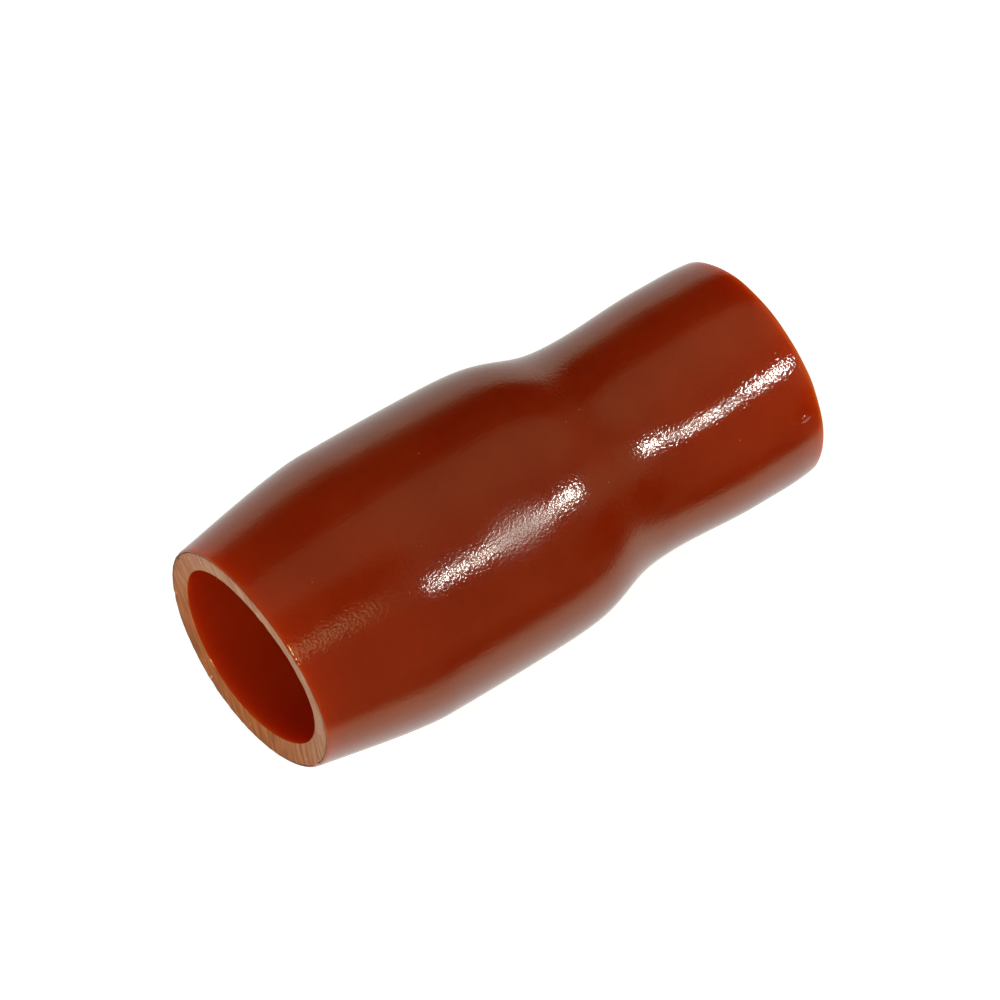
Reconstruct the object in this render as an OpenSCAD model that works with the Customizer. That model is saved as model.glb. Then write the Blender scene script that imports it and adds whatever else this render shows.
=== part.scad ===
// Soft vinyl insulating sleeve for a crimped cable lug, moulded in one piece and cut off at both
// ends. The lug's barrel is pushed in at the mouth and lies in the belly, and the neck closes on
// the cable's insulation. The axis runs along X. The origin is in the middle of the neck's cut
// end, where the cable leaves towards +X, and the mouth is at -X. All sizes are in millimetres.

/* [Overall] */
// Length of the sleeve, from the cut mouth to the end of the neck
sleeve_len = 42; // [34:0.5:90]
// Bore of the belly, which lies over the lug's crimped barrel
belly_bore = 16.8; // [14:0.1:40]
// Wall of the belly
belly_wall = 1.6; // [0.8:0.05:3]

/* [Mouth] */
// Bore of the mouth
mouth_bore = 13.5; // [8:0.1:17]
// Wall of the mouth, at its cut face
mouth_wall = 1.55; // [0.8:0.05:3]
// Length of the mouth's straight bore, behind its cut face
mouth_land = 1.5; // [0.5:0.1:6]
// Length over which the mouth swells out to the full belly
swell_len = 11.5; // [7:0.5:18]

/* [Shoulder] */
// Length over which the belly draws in to the waist
shoulder_len = 9; // [4:0.5:17]
// Wall of the waist
waist_wall = 1.4; // [0.8:0.05:3]

/* [Neck] */
// Length of the neck, from the waist to its cut end
neck_len = 12; // [8:0.5:20]
// Bore of the neck, which closes on the cable's insulation
neck_bore = 13.6; // [8:0.1:17]
// Wall of the neck, past the waist
neck_wall = 1.7; // [0.8:0.05:3]
// Length over which the waist eases out to the full neck
flare_len = 6.5; // [2:0.5:7]
// Rounding of the neck's outer edge
edge_round = 0.4; // [0.1:0.05:0.7]

/* [Hidden] */

mouth_bore_r = mouth_bore / 2;
belly_bore_r = belly_bore / 2;
neck_bore_r = neck_bore / 2;
mouth_r = mouth_bore_r + mouth_wall;
belly_r = belly_bore_r + belly_wall;
waist_r = neck_bore_r + waist_wall;
neck_r = neck_bore_r + neck_wall;

// Places along the axis, from the mouth
waist_at = sleeve_len - neck_len;
shoulder_at = waist_at - shoulder_len;

// Straight stretches that each curve is drawn with
curve_steps = 16;
$fn = 128;

// Share of a curve's rise at t from 0 to 1, for a curve that ends level
function level_end(t) = 1 - (1 - t) * (1 - t);

// The same, for a curve that is level at both ends
function level_ends(t) = (1 - cos(180 * t)) / 2;

// Outline point at a place along the axis and a radius
function at(along, radius) = [radius, along];

function between(a, b, share) = a + (b - a) * share;

// A bulging curve, level where it ends
function bulge(from, to, r_from, r_to) =
    [for (i = [0 : curve_steps])
        let (t = i / curve_steps)
        at(between(from, to, t), between(r_from, r_to, level_end(t)))];

// A curve like a drawn-out S, level where it starts and ends
function ogee(from, to, r_from, r_to) =
    [for (i = [0 : curve_steps])
        let (t = i / curve_steps)
        at(between(from, to, t), between(r_from, r_to, level_ends(t)))];

// A quarter round on the outer corner that ends the sleeve
function rounded_corner(end, radius, round_r) =
    [for (i = [0 : curve_steps])
        let (turn = 90 * i / curve_steps)
        at(end - round_r * (1 - sin(turn)), radius - round_r * (1 - cos(turn)))];

function reversed(points) = [for (i = [len(points) - 1 : -1 : 0]) points[i]];

// The outside, from the mouth to the end of the neck
outside = concat(
    bulge(0, swell_len, mouth_r, belly_r),
    ogee(shoulder_at, waist_at, belly_r, waist_r),
    bulge(waist_at, waist_at + flare_len, waist_r, neck_r),
    rounded_corner(sleeve_len, neck_r, edge_round)
);

// The inside, from the mouth to the end of the neck
inside = concat(
    [at(0, mouth_bore_r)],
    bulge(mouth_land, swell_len, mouth_bore_r, belly_bore_r),
    ogee(shoulder_at, waist_at, belly_bore_r, neck_bore_r),
    [at(sleeve_len, neck_bore_r)]
);

module insulating_sleeve() {
    color([0.5, 0.15, 0.07])
        translate([-sleeve_len, 0, 0])
        rotate([0, 90, 0])
        rotate_extrude()
        polygon(concat(outside, reversed(inside)));
}

insulating_sleeve();
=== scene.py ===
import math

import bmesh
import bpy
from mathutils import Matrix, Vector, noise


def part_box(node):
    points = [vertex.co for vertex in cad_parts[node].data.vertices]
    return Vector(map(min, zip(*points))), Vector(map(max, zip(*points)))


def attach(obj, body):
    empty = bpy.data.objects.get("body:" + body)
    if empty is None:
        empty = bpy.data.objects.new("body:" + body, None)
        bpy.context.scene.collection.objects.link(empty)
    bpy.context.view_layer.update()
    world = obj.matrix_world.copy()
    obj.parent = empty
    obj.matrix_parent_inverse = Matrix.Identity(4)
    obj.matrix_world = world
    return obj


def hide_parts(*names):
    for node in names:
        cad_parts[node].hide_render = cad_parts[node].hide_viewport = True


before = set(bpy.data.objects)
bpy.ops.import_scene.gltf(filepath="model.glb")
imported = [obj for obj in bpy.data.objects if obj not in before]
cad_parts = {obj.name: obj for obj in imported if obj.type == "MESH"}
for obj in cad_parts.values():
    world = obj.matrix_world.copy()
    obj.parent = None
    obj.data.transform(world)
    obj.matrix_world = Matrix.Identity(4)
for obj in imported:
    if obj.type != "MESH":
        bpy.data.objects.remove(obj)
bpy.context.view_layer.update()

mm = 0.001
nodeLow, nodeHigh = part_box("insulating_sleeve")
print("frame loaded, sleeve from", tuple(nodeLow), "to", tuple(nodeHigh))

# the sleeve as it was moulded and cut, measured from the mouth in mm
sleeve = {
    "length": (nodeHigh.x - nodeLow.x) / mm + 0.05,
    "bellyRadius": (nodeHigh.z - nodeLow.z) / 2 / mm - 0.015,
    "bellyBore": 8.4,
    "mouthRadius": 8.34,
    "mouthBore": 6.64,
    "mouthBoreShift": 0.08,     # the mouth's wall is a little thicker below
    "swellLength": 10.0,
    "swellCurve": 1.36,
    "crownPlace": 13.5,
    "crownDrop": 0.0015,        # mm of radius lost for each square mm away from the crown
    "shoulderStart": 17.0,
    "waistPlace": 30.6,
    "shoulderDelay": 4.1,       # how long the belly holds its width before it draws in
    "shoulderLanding": 1.85,    # how softly the shoulder runs out into the waist
    "waistRadius": 8.19,
    "neckRadius": 8.5,
    "neckBore": 6.8,
    "flareLength": 6.8,
    "neckEndDraw": 0.15,        # the neck draws in again by this much at its end,
    "neckEndLength": 2.5,       # over this length
    "lumpHeight": 0.007,
    "lumpSize": 4.5,
    "ringCuts": 480,
    "lengthCuts": 95,
    "boreCuts": 55,
    "mouthFaceCuts": 15,
    "neckFaceCuts": 9,
}

# the knife cuts at the two ends, in mm and degrees from +Y toward +Z
knife = {
    "leanHeight": 0.45,         # the mouth's cut is out of square by this much either way
    "leanToward": 201.0,
    "waveHeight": 0.14,
    "waveTurn": 28.0,
    "leanFade": 6.0,
    "neckLean": 0.15,
    "dish": 0.18,               # the cut face falls inward by this much
    "dragTurn": 62.0,           # the way the blade was drawn across
    "dragHeight": 0.03,
    "neckDragShare": 0.5,       # the neck's cut is smoother
    # the cut face is painted paler toward this turn and darker the other way: painted light and shade
    "paleSideTurn": 120.0,
    "edgeRound": 0.07,
    "mouthEdgeRound": 0.16,
    "neckEdgeRound": 0.15,
    "innerSegments": 2,
    "outerSegments": 4,
    "neckWander": 0.05,
    "neckWanderSize": 3,
    "nickReach": 0.3,           # how far the nicks reach along the skin
}

# the broad and the fine lines that the blade left, in lines per mm across and along the drag
bladeLines = [
    {"across": 2.6, "down": 0.35, "share": 1.0, "seed": 0},
    {"across": 6.5, "down": 0.8, "share": 0.6, "seed": 9},
]

# nicks the blade left in the mouth's outer edge, and one raised blemish near the neck's end,
# in mm and degrees
nicks = [
    {"turn": 27.0, "width": 0.25, "depth": 0.25},
    {"turn": 352.0, "width": 0.3, "depth": 0.07},
    {"turn": 318.0, "width": 0.4, "depth": 0.05},
    {"turn": 214.0, "width": 0.4, "depth": 0.08},
]
blemish = {
    "turn": 158.0,
    "fromEnd": 1.5,
    "size": 0.2,
    "squeeze": 0.8,             # it is a little longer than it is wide
    "height": 0.17,
    "reach": 0.6,               # the mesh is finer out to here
    "cuts": 3,
}

# what counts as being at a rim, on a cut face or on the skin
touch = 1e-4            # mm
nearFace = 0.01         # mm
nearSkin = 0.9          # share of the wall
faceRim = 0.03          # share of the wall
facing = 0.9            # a face that looks this squarely along X is a cut face

# where the noise patterns are read, one place for each
neckSeed, mouthLineSeed, neckLineSeed = 5, 3.0, 40.0


def blend(low, high, share):
    return low + (high - low) * share


def clamp01(value):
    return min(max(value, 0.0), 1.0)


def smooth(share):
    share = clamp01(share)
    return share * share * (3 - 2 * share)


def swollen(along, atMouth, atBelly):
    left = max(1 - along / sleeve["swellLength"], 0.0)
    return atBelly - (atBelly - atMouth) * left ** sleeve["swellCurve"]


def shoulderShare(along):
    start, end = sleeve["shoulderStart"], sleeve["waistPlace"]
    way = clamp01((along - start) / (end - start))
    drawn = way ** sleeve["shoulderDelay"]
    return drawn / (drawn + (1 - way) ** sleeve["shoulderLanding"])


def skinRadius(along):
    crown = sleeve["bellyRadius"] - sleeve["crownDrop"] * (along - sleeve["crownPlace"]) ** 2
    if along < sleeve["shoulderStart"]:
        return swollen(along, sleeve["mouthRadius"], crown)
    if along < sleeve["waistPlace"]:
        return blend(crown, sleeve["waistRadius"], shoulderShare(along))
    way = smooth((along - sleeve["waistPlace"]) / sleeve["flareLength"])
    ending = clamp01(1 - (sleeve["length"] - along) / sleeve["neckEndLength"])
    return blend(sleeve["waistRadius"], sleeve["neckRadius"], way) - sleeve["neckEndDraw"] * ending ** 2


def boreRadius(along):
    if along < sleeve["shoulderStart"]:
        return swollen(along, sleeve["mouthBore"], sleeve["bellyBore"])
    if along < sleeve["waistPlace"]:
        return blend(sleeve["bellyBore"], sleeve["neckBore"], shoulderShare(along))
    return sleeve["neckBore"]


def mouthLean(turn):
    lean = knife["leanHeight"] * math.cos(turn - math.radians(knife["leanToward"]))
    wave = knife["waveHeight"] * math.cos(2 * turn - math.radians(knife["waveTurn"]))
    return lean + wave


def bladeMark(y, z, seed):
    turn = math.radians(knife["dragTurn"])
    across = z * math.cos(turn) - y * math.sin(turn)
    down = y * math.cos(turn) + z * math.sin(turn)
    lines = 0
    for line in bladeLines:
        place = Vector((across * line["across"], down * line["down"], seed + line["seed"]))
        lines += line["share"] * noise.noise(place)
    return knife["dragHeight"] * lines


def awayFrom(turn, degrees, radius):
    back = math.radians(degrees) - turn
    return radius * math.atan2(math.sin(back), math.cos(back))


def nickDepth(turn, radius):
    return sum(nick["depth"] * math.exp(-(awayFrom(turn, nick["turn"], radius) / nick["width"]) ** 2)
               for nick in nicks)


def blemishHeight(along, turn, radius):
    aside = awayFrom(turn, blemish["turn"], radius)
    ahead = along - (sleeve["length"] - blemish["fromEnd"])
    apart = math.hypot(aside, ahead * blemish["squeeze"]) / blemish["size"]
    return blemish["height"] * math.exp(-apart ** 2)


def roundRims(bm, edges, offset, segments):
    bmesh.ops.bevel(bm, geom=edges, offset=offset, offset_type="OFFSET", segments=segments,
                    profile=0.5, affect="EDGES", material=-1)


# a straight tube with rounded rims, in mm from the mouth; shapedPlace then gives it the sleeve's shape
def plainTube(length, skin, bore):
    bm = bmesh.new()
    corners = [bm.verts.new(place)
               for place in ((0, 0, bore), (0, 0, skin), (length, 0, skin), (length, 0, bore))]
    sides = [bm.edges.new((corners[i], corners[(i + 1) % 4])) for i in range(4)]
    for side, cuts in zip(sides, ("mouthFaceCuts", "lengthCuts", "neckFaceCuts", "boreCuts")):
        bmesh.ops.subdivide_edges(bm, edges=[side], cuts=sleeve[cuts])
    bmesh.ops.spin(bm, geom=bm.verts[:] + bm.edges[:], cent=(0, 0, 0), axis=(1, 0, 0),
                   angle=math.tau, steps=sleeve["ringCuts"], use_merge=True)
    bmesh.ops.recalc_face_normals(bm, faces=bm.faces[:])

    def rim(edge, place, radius):
        return all(abs(v.co.x - place) < touch and abs(v.co.yz.length - radius) < touch for v in edge.verts)

    boreRims = [e for e in bm.edges if rim(e, 0, bore) or rim(e, length, bore)]
    roundRims(bm, boreRims, knife["edgeRound"], knife["innerSegments"])
    mouthRim = [e for e in bm.edges if rim(e, 0, skin)]
    roundRims(bm, mouthRim, knife["mouthEdgeRound"], knife["outerSegments"])
    neckRim = [e for e in bm.edges if rim(e, length, skin)]
    roundRims(bm, neckRim, knife["neckEdgeRound"], knife["outerSegments"])
    return bm


def cutFinerAtBlemish(bm, length, skin):
    turn = math.radians(blemish["turn"])
    centre = Vector((length - blemish["fromEnd"], skin * math.cos(turn), skin * math.sin(turn)))
    around = [e for e in bm.edges if all((v.co - centre).length < blemish["reach"] for v in e.verts)]
    bmesh.ops.subdivide_edges(bm, edges=around, cuts=blemish["cuts"], use_grid_fill=True)


def shapedPlace(place, length, skin, bore):
    turn = math.atan2(place.z, place.y)
    y, z = math.cos(turn), math.sin(turn)
    depth = (place.yz.length - bore) / (skin - bore)        # 0 on the bore, 1 on the skin
    onFace = faceRim < depth < 1 - faceRim
    mouthFade = smooth(1 - place.x / knife["leanFade"])
    neckFade = smooth(1 - (length - place.x) / knife["leanFade"])
    wander = noise.noise(Vector((y * knife["neckWanderSize"], z * knife["neckWanderSize"], neckSeed)))
    along = place.x + mouthFade * (mouthLean(turn) + knife["dish"] * (1 - depth))
    along += neckFade * (knife["neckWander"] * wander - knife["neckLean"] * y)
    lump = sleeve["lumpHeight"] * noise.noise(Vector((along, y * skin, z * skin)) / sleeve["lumpSize"])
    raised = lump + blemishHeight(place.x, turn, skin)
    radius = blend(boreRadius(along), skinRadius(along) + raised, depth)
    if depth > nearSkin and place.x < knife["nickReach"]:
        radius -= nickDepth(turn, skin)
    if onFace and place.x < nearFace:
        along += bladeMark(y * radius, z * radius, mouthLineSeed)
    if onFace and place.x > length - nearFace:
        along += bladeMark(y * radius, z * radius, neckLineSeed) * knife["neckDragShare"]
    shift = sleeve["mouthBoreShift"] * mouthFade * (1 - depth)
    return Vector((along, y * radius + shift, z * radius + shift))


def makeSleeve():
    length, skin, bore = sleeve["length"], sleeve["bellyRadius"], sleeve["bellyBore"]
    bm = plainTube(length, skin, bore)
    cutFinerAtBlemish(bm, length, skin)
    for face in bm.faces:
        face.smooth = True
        face.material_index = 1 if abs(face.normal.x) > facing else 0
    for vert in bm.verts:
        vert.co = shapedPlace(vert.co, length, skin, bore)
    toPlace = Matrix.Translation((nodeLow.x, 0, 0)) @ Matrix.Scale(mm, 4)
    bmesh.ops.transform(bm, matrix=toPlace, verts=bm.verts[:])
    mesh = bpy.data.meshes.new("moulded_sleeve")
    bm.to_mesh(mesh)
    bm.free()
    piece = bpy.data.objects.new("moulded_sleeve", mesh)
    bpy.context.collection.objects.link(piece)
    return piece


def newMaterial(name):
    material = bpy.data.materials.new(name)
    material.use_nodes = True
    tree = material.node_tree
    shader = tree.nodes["Principled BSDF"]
    return material, tree, shader


def setSockets(node, **values):
    for name, value in values.items():
        node.inputs[name].default_value = value


def dotNode(tree, vector, way):
    node = tree.nodes.new("ShaderNodeVectorMath")
    node.operation = "DOT_PRODUCT"
    node.inputs[1].default_value = way
    tree.links.new(vector, node.inputs[0])
    return node.outputs["Value"]


def distanceNode(tree, vector, place):
    node = tree.nodes.new("ShaderNodeVectorMath")
    node.operation = "DISTANCE"
    node.inputs[1].default_value = place
    tree.links.new(vector, node.inputs[0])
    return node.outputs["Value"]


def noiseNode(tree, vector, scale, detail=2.0, roughness=0.5):
    node = tree.nodes.new("ShaderNodeTexNoise")
    node.inputs["Scale"].default_value = scale
    node.inputs["Detail"].default_value = detail
    node.inputs["Roughness"].default_value = roughness
    tree.links.new(vector, node.inputs["Vector"])
    return node.outputs["Fac"]


def rangeNode(tree, value, fromLow, fromHigh, toLow, toHigh, way="LINEAR"):
    node = tree.nodes.new("ShaderNodeMapRange")
    node.interpolation_type = way
    node.inputs["From Min"].default_value = fromLow
    node.inputs["From Max"].default_value = fromHigh
    node.inputs["To Min"].default_value = toLow
    node.inputs["To Max"].default_value = toHigh
    tree.links.new(value, node.inputs["Value"])
    return node.outputs["Result"]


def mixColour(tree, share, first, second):
    node = tree.nodes.new("ShaderNodeMix")
    node.data_type = "RGBA"
    for name, colour in (("A", first), ("B", second)):
        if isinstance(colour, tuple):
            node.inputs[name].default_value = (*colour, 1)
        else:
            tree.links.new(colour, node.inputs[name])
    tree.links.new(share, node.inputs["Factor"])
    return node.outputs["Result"]


def floatMix(tree, share, first, second):
    node = tree.nodes.new("ShaderNodeMix")
    node.data_type = "FLOAT"
    for socket, value in (("Factor", share), ("A", first), ("B", second)):
        socket = next(s for s in node.inputs if s.name == socket and s.enabled)
        if isinstance(value, (int, float)):
            socket.default_value = value
        else:
            tree.links.new(value, socket)
    return next(s for s in node.outputs if s.enabled)


def bumpNode(tree, height, distance, strength, before=None):
    node = tree.nodes.new("ShaderNodeBump")
    node.inputs["Distance"].default_value = distance
    node.inputs["Strength"].default_value = strength
    tree.links.new(height, node.inputs["Height"])
    if before is not None:
        tree.links.new(before, node.inputs["Normal"])
    return node.outputs["Normal"]


# colours are linear, patterns are counted per metre, and heights and bleeds are in metres
vinyl = {
    "deep": (0.37, 0.025, 0.003),
    "clear": (0.42, 0.034, 0.005),
    "cloud": {"perMetre": 180, "from": 0.35, "to": 0.65},
    "bending": 1.53,            # how strongly the vinyl bends light
    "bleed": 0.01,
    "bleedColour": (1.0, 0.45, 0.2),
}
gloss = {
    "polished": 0.1,
    "dulled": 0.14,
    "dulling": {"perMetre": 900, "from": 0.3, "to": 0.7},
    "neck": 0.07,
    "neckFrom": 12.5,           # mm before the neck's end, where its own gloss starts
    "neckFull": 10,             # and where it is full
    "grainSize": 5200,
    "grainHeight": 0.000017,
    "waveSize": 1100,
    "waveHeight": 0.000006,
}

# handling has dulled the top of the belly a little; its place and reach are in mm
worn = {"place": (-24.6, -6.8, 7.2), "inner": 0.5, "outer": 3.4, "roughness": 0.26}
dust = {
    "perMetre": 1500,
    "inner": 0.06,              # a speck's core and edge, as shares of the spacing
    "outer": 0.1,
    "patch": {"perMetre": 260, "from": 0.64, "to": 0.7},
    "colour": (0.55, 0.2, 0.1),
    "roughness": 0.5,
}

# the cut vinyl with the blade's drag stripes, painted paler on one side and darker and more orange on the
# other as painted light and shade, with a few painted glints
cut = {
    # painted shade and light: the first two colours paint the cut face's darker, shaded side and the next
    # two its paler, lit side; dark and pale follow the drag stripes
    "shadedSideDark": (0.34, 0.09, 0.024),
    "shadedSidePale": (0.54, 0.175, 0.062),
    "litSideDark": (0.42, 0.17, 0.1),
    "litSidePale": (0.64, 0.33, 0.235),
    "litShareFrom": -6,             # mm across the sleeve
    "litShareFull": 5,
    "drag": {"perMetre": 3400, "from": 0.36, "to": 0.64},
    "dragStretch": 9,
    "dragHeight": 0.00005,
    # painted glints: scattered spots of brighter base colour stand in for highlights on the cut face; their
    # lower roughness is real
    "paintedGlint": {"perMetre": 1700, "from": 0.69, "to": 0.73},
    "paintedGlintColour": (0.85, 0.42, 0.22),
    "paintedGlintRoughness": 0.25,
    "roughness": 0.6,
    "grainSize": 5200,
    "grainHeight": 0.00002,
    "grainStrength": 0.6,
    "shine": 0.2,
    "bleed": 0.001,
    "bleedColour": (1.0, 0.5, 0.3),
}


def patternNode(tree, place, pattern, detail):
    found = noiseNode(tree, place, pattern["perMetre"], detail)
    return rangeNode(tree, found, pattern["from"], pattern["to"], 0, 1)


def dustSpecks(tree, place):
    cells = tree.nodes.new("ShaderNodeTexVoronoi")
    cells.inputs["Scale"].default_value = dust["perMetre"]
    tree.links.new(place, cells.inputs["Vector"])
    speck = rangeNode(tree, cells.outputs["Distance"], dust["inner"], dust["outer"], 1, 0)
    return floatMix(tree, patternNode(tree, place, dust["patch"], 1), 0.0, speck)


def skinRoughness(tree, place, specks):
    dulling = gloss["dulling"]
    rough = rangeNode(tree, noiseNode(tree, place, dulling["perMetre"], 4), dulling["from"], dulling["to"],
                      gloss["polished"], gloss["dulled"])
    away = distanceNode(tree, place, Vector(worn["place"]) * mm)
    near = rangeNode(tree, away, worn["inner"] * mm, worn["outer"] * mm, 1, 0, "SMOOTHSTEP")
    rough = floatMix(tree, near, rough, worn["roughness"])
    onNeck = rangeNode(tree, dotNode(tree, place, (1, 0, 0)), nodeHigh.x - gloss["neckFrom"] * mm,
                       nodeHigh.x - gloss["neckFull"] * mm, 0, 1)
    rough = floatMix(tree, onNeck, rough, gloss["neck"])
    return floatMix(tree, specks, rough, dust["roughness"])


def vinylSkin():
    material, tree, shader = newMaterial("vinylSkin")
    place = tree.nodes.new("ShaderNodeTexCoord").outputs["Object"]
    body = mixColour(tree, patternNode(tree, place, vinyl["cloud"], 3), vinyl["deep"], vinyl["clear"])
    specks = dustSpecks(tree, place)
    tree.links.new(mixColour(tree, specks, body, dust["colour"]), shader.inputs["Base Color"])
    tree.links.new(skinRoughness(tree, place, specks), shader.inputs["Roughness"])
    grain = bumpNode(tree, noiseNode(tree, place, gloss["grainSize"], 1), gloss["grainHeight"], 1)
    wave = bumpNode(tree, noiseNode(tree, place, gloss["waveSize"], 2), gloss["waveHeight"], 1, grain)
    tree.links.new(wave, shader.inputs["Normal"])
    setSockets(shader, **{"IOR": vinyl["bending"], "Subsurface Weight": 1.0,
                          "Subsurface Scale": vinyl["bleed"], "Subsurface Radius": vinyl["bleedColour"]})
    return material


def cutVinyl():
    material, tree, shader = newMaterial("cutVinyl")
    place = tree.nodes.new("ShaderNodeTexCoord").outputs["Object"]
    turned = tree.nodes.new("ShaderNodeMapping")
    turned.vector_type = "TEXTURE"
    turned.inputs["Rotation"].default_value = (math.radians(knife["dragTurn"]), 0, 0)
    turned.inputs["Scale"].default_value = (1, cut["dragStretch"], 1)
    tree.links.new(place, turned.inputs["Vector"])
    drag = noiseNode(tree, turned.outputs["Vector"], cut["drag"]["perMetre"], 3)
    share = rangeNode(tree, drag, cut["drag"]["from"], cut["drag"]["to"], 0, 1)
    clear = mixColour(tree, share, cut["shadedSideDark"], cut["shadedSidePale"])
    litSide = mixColour(tree, share, cut["litSideDark"], cut["litSidePale"])
    # painted light and shade across the cut face: paler toward the turn above, darker and more orange away
    # from it
    turn = math.radians(knife["paleSideTurn"])
    across = dotNode(tree, place, (0, math.cos(turn), math.sin(turn)))
    litShare = rangeNode(tree, across, cut["litShareFrom"] * mm, cut["litShareFull"] * mm, 0, 1)
    colour = mixColour(tree, litShare, clear, litSide)
    # painted glints: brighter base colour in scattered spots, with lower roughness
    paintedGlint = patternNode(tree, place, cut["paintedGlint"], 2)
    tree.links.new(mixColour(tree, paintedGlint, colour, cut["paintedGlintColour"]), shader.inputs["Base Color"])
    rough = floatMix(tree, paintedGlint, cut["roughness"], cut["paintedGlintRoughness"])
    tree.links.new(rough, shader.inputs["Roughness"])
    scratch = bumpNode(tree, drag, cut["dragHeight"], 1)
    fine = noiseNode(tree, place, cut["grainSize"], 2)
    tree.links.new(bumpNode(tree, fine, cut["grainHeight"], cut["grainStrength"], scratch),
                   shader.inputs["Normal"])
    setSockets(shader, **{"IOR": vinyl["bending"], "Specular IOR Level": cut["shine"],
                          "Subsurface Weight": 1.0, "Subsurface Scale": cut["bleed"],
                          "Subsurface Radius": cut["bleedColour"]})
    return material


piece = makeSleeve()
piece.data.materials.append(vinylSkin())
piece.data.materials.append(cutVinyl())
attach(piece, "root")
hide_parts("insulating_sleeve")
print("sleeve made,", len(piece.data.polygons), "faces")

# the studio
studio = {
    "azimuth": -36.6,           # 0 looks along +Y
    "elevation": 51.3,
    "distance": 310.6 * mm,
    "lens": 165.6,
    "sensor": 36,
    "nearest": 0.01,
    "farthest": 20,
    "aimUp": 0.73 * mm,
    "aimLeft": 0.15 * mm,
    "lampDistance": 300,
    "floorGlow": 0.9,
    "floorGrey": 0.5,
    "floorSize": 6,             # metres from the middle to each side
    "backdropGlow": 0.95,
}

# three lamps side by side that only the gloss sees, and four soft ones that only light the matt side,
# placed in degrees from +X toward +Y and above the floor; sizes in degrees, distances in mm
lamps = {
    "nearLamp": {"azimuth": -69.1, "elevation": 34, "width": 3.0, "height": 4.6, "radiance": 70,
                 "gloss": True},
    "bridgeLamp": {"azimuth": -63.3, "elevation": 34, "width": 8.6, "height": 4.6, "radiance": 9,
                   "gloss": True},
    "farLamp": {"azimuth": -51.5, "elevation": 34, "width": 7.2, "height": 4.6, "radiance": 70,
                "gloss": True},
    "frontFill": {"azimuth": -126, "elevation": 15, "width": 60, "height": 60, "radiance": 1.0,
                  "gloss": False},
    "mouthFill": {"azimuth": 180, "elevation": 15, "width": 28, "height": 28, "radiance": 4.5,
                  "gloss": False},
    "neckFill": {"azimuth": 0, "elevation": 12, "width": 28, "height": 28, "radiance": 3,
                 "gloss": False},
    "neckBounce": {"azimuth": -25, "elevation": 25, "distance": 45, "width": 20, "height": 20,
                   "radiance": 3.0, "gloss": False},
}
lampTint = (0.98, 1.0, 0.88)

# what the gloss sees round the sleeve: one big sheet of white paper under and behind it,
# and a dim room above, with lighter and darker areas
paperTint = (1.0, 1.0, 0.92)
paperEdgeTint = (1.0, 0.9, 0.55)
roomTint = (1.0, 0.93, 0.42)
ambient = 0.18              # what the matt side of the vinyl sees all round
paper = {
    "azimuth": 75,
    "elevation": -61,
    "reach": 73.6,
    "edge": 5,
    "near": 1.02,
    "far": 0.72,
    "dimmingAzimuth": 60,       # it gets darker toward this side
    "dimmingTo": 0.9,
    "tintAzimuth": 53,          # and whiter toward its middle
    "tintElevation": -51,
    "tintFrom": 0.34,
    "tintTo": 0.85,
}
room = {"wall": 0.16, "ceiling": 0.33, "ceilingFrom": 0.6, "ceilingFull": 0.93}
roomAreas = [
    {"azimuth": 5, "elevation": 58, "inner": 12, "outer": 26, "level": 0.4},
    {"azimuth": -38, "elevation": 20, "inner": 8, "outer": 20, "level": 0.42},
    {"azimuth": 45, "elevation": 32, "inner": 14, "outer": 26, "level": 0.0},
    {"azimuth": 80, "elevation": 45, "inner": 16, "outer": 26, "level": 0.0},
    {"azimuth": -100, "elevation": 62, "inner": 8, "outer": 20, "level": 0.02},
    {"azimuth": -48, "elevation": -6, "inner": 10, "outer": 20, "level": 0.01},
    {"azimuth": -68, "elevation": -30, "inner": 6, "outer": 14, "level": 0.05},
    {"azimuth": -101, "elevation": 40, "inner": 5, "outer": 9, "level": 2.2},
    {"azimuth": -122, "elevation": 36, "inner": 3, "outer": 7, "level": 60.0},
]


def direction(azimuth, elevation):
    a, e = math.radians(azimuth), math.radians(elevation)
    return Vector((math.cos(a) * math.cos(e), math.sin(a) * math.cos(e), math.sin(e)))


middle = (nodeLow + nodeHigh) / 2


def makeCamera():
    camera = bpy.data.objects.new("camera", bpy.data.cameras.new("camera"))
    bpy.context.collection.objects.link(camera)
    back = direction(studio["azimuth"] - 90, studio["elevation"])
    turned = (-back).to_track_quat("-Z", "Y")
    camera.rotation_mode = "QUATERNION"
    camera.rotation_quaternion = turned
    aside = turned @ Vector((-studio["aimLeft"], studio["aimUp"], 0))
    camera.location = middle + back * studio["distance"] + aside
    camera.data.lens = studio["lens"]
    camera.data.sensor_width = studio["sensor"]
    camera.data.clip_start, camera.data.clip_end = studio["nearest"], studio["farthest"]
    bpy.context.scene.camera = camera


def makeLamp(name, spec):
    distance = spec.get("distance", studio["lampDistance"]) * mm
    data = bpy.data.lights.new(name, "AREA")
    data.shape = "RECTANGLE"
    data.size = 2 * distance * math.tan(math.radians(spec["width"] / 2))
    data.size_y = 2 * distance * math.tan(math.radians(spec["height"] / 2))
    data.energy = spec["radiance"] * math.pi * data.size * data.size_y
    data.color = lampTint
    lamp = bpy.data.objects.new(name, data)
    bpy.context.collection.objects.link(lamp)
    away = direction(spec["azimuth"], spec["elevation"])
    lamp.location = middle + away * distance
    lamp.rotation_mode = "QUATERNION"
    lamp.rotation_quaternion = away.to_track_quat("Z", "Y")
    lamp.visible_camera = False
    lamp.visible_glossy = spec["gloss"]
    lamp.visible_diffuse = not spec["gloss"]


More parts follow.
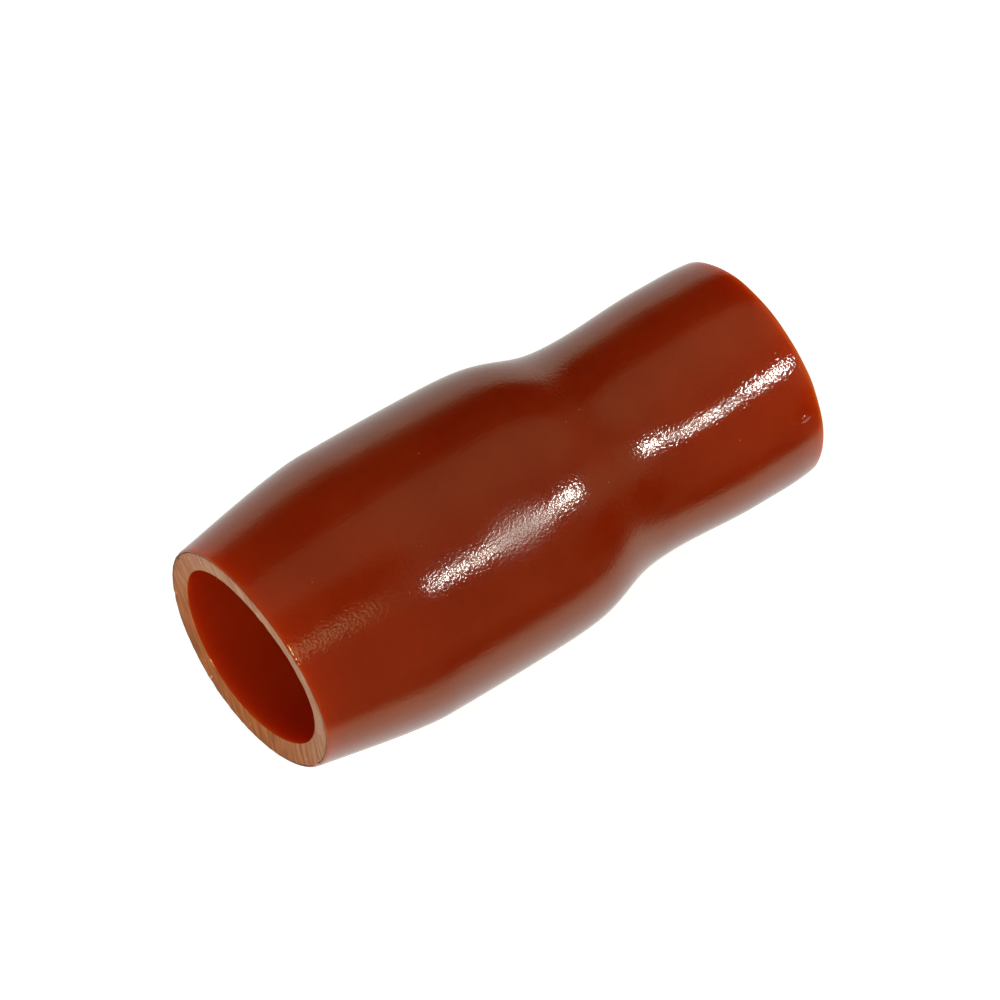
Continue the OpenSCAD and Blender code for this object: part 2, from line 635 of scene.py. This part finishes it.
def makeFloor():
    bm = bmesh.new()
    bmesh.ops.create_grid(bm, x_segments=1, y_segments=1, size=studio["floorSize"])
    bmesh.ops.translate(bm, vec=(0, 0, nodeLow.z), verts=bm.verts[:])
    mesh = bpy.data.meshes.new("floor")
    bm.to_mesh(mesh)
    bm.free()
    floor = bpy.data.objects.new("floor", mesh)
    bpy.context.collection.objects.link(floor)
    material, tree, shader = newMaterial("paleFloor")
    grey = studio["floorGrey"]
    setSockets(shader, **{"Base Color": (grey, grey, grey, 1), "Roughness": 0.9,
                          "Emission Color": (1, 1, 1, 1), "Emission Strength": studio["floorGlow"]})
    floor.data.materials.append(material)
    floor.visible_glossy = False      # the gloss sees the paper that the world paints instead
    floor.visible_diffuse = False
    floor.visible_shadow = False


def spot(tree, seen, azimuth, elevation, inner, outer):
    dot = dotNode(tree, seen, direction(azimuth, elevation))
    return rangeNode(tree, dot, math.cos(math.radians(outer)), math.cos(math.radians(inner)), 0, 1,
                     "SMOOTHSTEP")


def makeRoom():
    world = bpy.data.worlds.new("room")
    bpy.context.scene.world = world
    world.use_nodes = True
    tree = world.node_tree
    tree.nodes.clear()
    seen = tree.nodes.new("ShaderNodeTexCoord").outputs["Generated"]
    up = dotNode(tree, seen, (0, 0, 1))
    light = rangeNode(tree, up, room["ceilingFrom"], room["ceilingFull"], room["wall"], room["ceiling"])
    for area in roomAreas:
        share = spot(tree, seen, area["azimuth"], area["elevation"], area["inner"], area["outer"])
        light = floatMix(tree, share, light, area["level"])
    sheet = spot(tree, seen, paper["azimuth"], paper["elevation"], paper["reach"] - paper["edge"],
                 paper["reach"] + paper["edge"])
    away = dotNode(tree, seen, direction(paper["dimmingAzimuth"], 0))
    paperLight = rangeNode(tree, away, 0.0, paper["dimmingTo"], paper["near"], paper["far"])
    light = floatMix(tree, sheet, light, paperLight)
    path = tree.nodes.new("ShaderNodeLightPath")
    light = floatMix(tree, path.outputs["Is Glossy Ray"], ambient, light)
    light = floatMix(tree, path.outputs["Is Camera Ray"], light, studio["backdropGlow"])
    background = tree.nodes.new("ShaderNodeBackground")
    tinted = floatMix(tree, path.outputs["Is Glossy Ray"], 1.0, sheet)
    inward = dotNode(tree, seen, direction(paper["tintAzimuth"], paper["tintElevation"]))
    inPaper = rangeNode(tree, inward, paper["tintFrom"], paper["tintTo"], 0, 1)
    paperColour = mixColour(tree, inPaper, paperEdgeTint, paperTint)
    tree.links.new(mixColour(tree, tinted, roomTint, paperColour), background.inputs["Color"])
    tree.links.new(light, background.inputs["Strength"])
    out = tree.nodes.new("ShaderNodeOutputWorld")
    tree.links.new(background.outputs[0], out.inputs["Surface"])


makeCamera()
makeFloor()
makeRoom()
for name, spec in lamps.items():
    makeLamp(name, spec)
bpy.context.scene.view_settings.view_transform = "Standard"
print("studio made")
